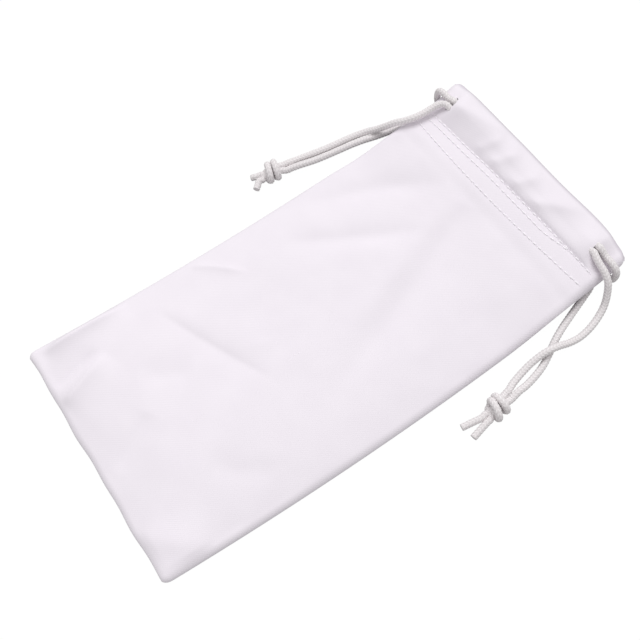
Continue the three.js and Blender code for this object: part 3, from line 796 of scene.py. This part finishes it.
def halfCord(which, route):
    # key points from the hole out to the end of the tail, with the knot's first point and the hole's
    away, along = route["away"], unit(np.array(route["heading"]))
    clear = along * (cord["clear"] + cordRadius)
    knot = knotPoints(which, route)
    enter, leave = knot[0] - clear, knot[-1] + clear
    end = np.array(route["tailEnds"][which])
    start = channelPoint(which, away, -away * (holeX + np.array((0.5, 0.5 + cordRadius))))
    points = [start, route[which], [enter], knot, [leave, mix(leave, end, 0.5), end]]
    return np.concatenate([np.array(p, float).reshape(-1, 3) for p in points]), knot[0], start[0]


def braid(along, around):
    # height of the braid's slanting strands, from 0 in its hollows to 1
    across = around * cord["columns"] / (2 * np.pi)
    column = np.floor(across + 1e-6)
    part = np.clip(across - column, 0, 1)
    slant = np.where(column % 2 == 0, part, 1 - part)
    grain = 0.5 + 0.5 * np.cos(2 * np.pi * (along / cord["pitch"] + 0.8 * slant))
    return (0.25 + 0.75 * np.sin(np.pi * part) ** 0.6) * grain


for side, route in routes.items():
    frontHalf, frontKnot, frontHole = halfCord("front", route)
    backHalf, backKnot, backHole = halfCord("back", route)
    points = np.concatenate([frontHalf[::-1], channelPoints(route["away"]), backHalf])
    path = smoothPath(points, cordStep)
    ends = frontKnot, frontHole, backHole, backKnot
    marks = [int(np.argmin(np.linalg.norm(path - p, axis=1))) for p in ends]
    place = np.arange(len(path))
    inChannel = (place > marks[1]) & (place < marks[2])
    squeeze = inChannel * (1 - ease(np.abs(path[:, 0] - bowAt(holeY)), 10.5, 17.5))
    path[:, 2] += route["away"] * cord["apart"] * squeeze
    reach = 3 / cordStep
    inKnots = ease(marks[0] + reach - place, 0, 2 * reach), ease(place - marks[3] + reach, 0, 2 * reach)
    around = np.linspace(0, 2 * np.pi, cord["sides"], endpoint=False)
    height = braid(place[:, None] * cordStep, around)
    radius = mix(cord["drawnRadius"], cord["knotRadius"], np.maximum(*inKnots))[:, None]
    rings = tubeRings(path, radius - cord["hollow"] + cord["relief"] * height, cord["sides"])
    offset = rings - path[:, None]
    offset[..., 1] *= 1 + cord["spread"] * squeeze[:, None]
    offset[..., 2] *= 1 - cord["flatten"] * squeeze[:, None]
    rings = path[:, None] + offset
    parts = {
        "knot": [slice(0, marks[0] + 1), slice(marks[3], None)],
        "front_strand": [slice(marks[0], marks[1] + 1)],
        "channel_cord": [slice(marks[1], marks[2] + 1)],
        "back_strand": [slice(marks[2], marks[3] + 1)],
    }
    made = {}
    for part, cuts in parts.items():
        piece = tubes(f"{side}_{part}_braid", [rings[c] for c in cuts], cordLook)
        setValue(piece, "braid", np.concatenate([height[c].ravel() for c in cuts]))
        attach(piece, f"{side}_cord")
        made[part] = piece
    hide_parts(f"{side}_channel_cord")
    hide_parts(*(f"{side}_{w}_{p}" for w in ("front", "back") for p in ("knot", "tail")))
    for which, hole in (("front", frontHole), ("back", backHole)):
        piece = made[f"{which}_strand"]
        line = path[parts[f"{which}_strand"][0]]
        line = line[::-1] if which == "front" else line
        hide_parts(f"{side}_{which}_strand")
print("cords made")

# Camera, lights and floor
view = {
    "lens": 48.3,
    "place": (95.88, -53.08, 267.79),
    "look": (-0.33024, 0.17347, -0.92782),
    "right": (0.56541, 0.82346, -0.04729),  # what points to the right of the picture
}
camera = bpy.data.objects.new("camera", bpy.data.cameras.new("camera"))
scene.collection.objects.link(camera)
scene.camera = camera
camera.data.lens = view["lens"]
camera.data.sensor_width = 36
camera.data.clip_start = 0.01
look, rightWay = Vector(view["look"]), Vector(view["right"])
plain = look.to_track_quat("-Z", "Y")
plainRight = plain @ Vector((1, 0, 0))
roll = plainRight.angle(rightWay)
if plainRight.cross(rightWay).dot(-look) < 0:
    roll = -roll
camera.rotation_mode = "QUATERNION"
camera.rotation_quaternion = plain @ Quaternion((0, 0, 1), roll)
camera.location = Vector(view["place"]) * mm

light = {"sky": 0.645, "sun": 1.5, "softness": 35, "direction": (0.48, -0.42, -1)}
world = bpy.data.worlds.new("studio")
world.use_nodes = True
world.node_tree.nodes["Background"].inputs["Color"].default_value = (1, 1, 1, 1)
world.node_tree.nodes["Background"].inputs["Strength"].default_value = light["sky"]
scene.world = world

sun = bpy.data.objects.new("key", bpy.data.lights.new("key", "SUN"))
sun.data.energy = light["sun"]
sun.data.angle = math.radians(light["softness"])
sun.rotation_mode = "QUATERNION"
sun.rotation_quaternion = Vector(light["direction"]).to_track_quat("-Z", "Y")
scene.collection.objects.link(sun)

# white paper to the camera, grey to the light, so that the pouch keeps a faint shadow
paper = {"grey": 0.4, "glow": 1.07, "glowShare": 0.92, "half": 3000}
paperLook = bpy.data.materials.new("floor")
paperLook.use_nodes = True
nodes, links = paperLook.node_tree.nodes, paperLook.node_tree.links
nodes.clear()
surface = nodes.new("ShaderNodeOutputMaterial")
matte = nodes.new("ShaderNodeBsdfDiffuse")
matte.inputs["Color"].default_value = (paper["grey"], paper["grey"], paper["grey"], 1)
glow = nodes.new("ShaderNodeEmission")
glow.inputs["Strength"].default_value = paper["glow"]
ray = nodes.new("ShaderNodeLightPath")
mixed = nodes.new("ShaderNodeMixShader")
seen = ray.outputs["Is Camera Ray"]
for other in ("Is Glossy Ray", "Is Transmission Ray"):
    either = nodes.new("ShaderNodeMath")
    either.operation = "MAXIMUM"
    links.new(seen, either.inputs[0])
    links.new(ray.outputs[other], either.inputs[1])
    seen = either.outputs[0]
share = nodes.new("ShaderNodeMath")
share.operation = "MULTIPLY"
share.inputs[1].default_value = paper["glowShare"]
links.new(seen, share.inputs[0])
links.new(share.outputs[0], mixed.inputs["Fac"])
links.new(matte.outputs[0], mixed.inputs[1])
links.new(glow.outputs[0], mixed.inputs[2])
links.new(mixed.outputs[0], surface.inputs["Surface"])
half = paper["half"]
corners = [(-half, -half, 0), (half, -half, 0), (half, half, 0), (-half, half, 0)]
floor = makeMesh("floor", corners, [(0, 1, 2, 3)], paperLook, False)
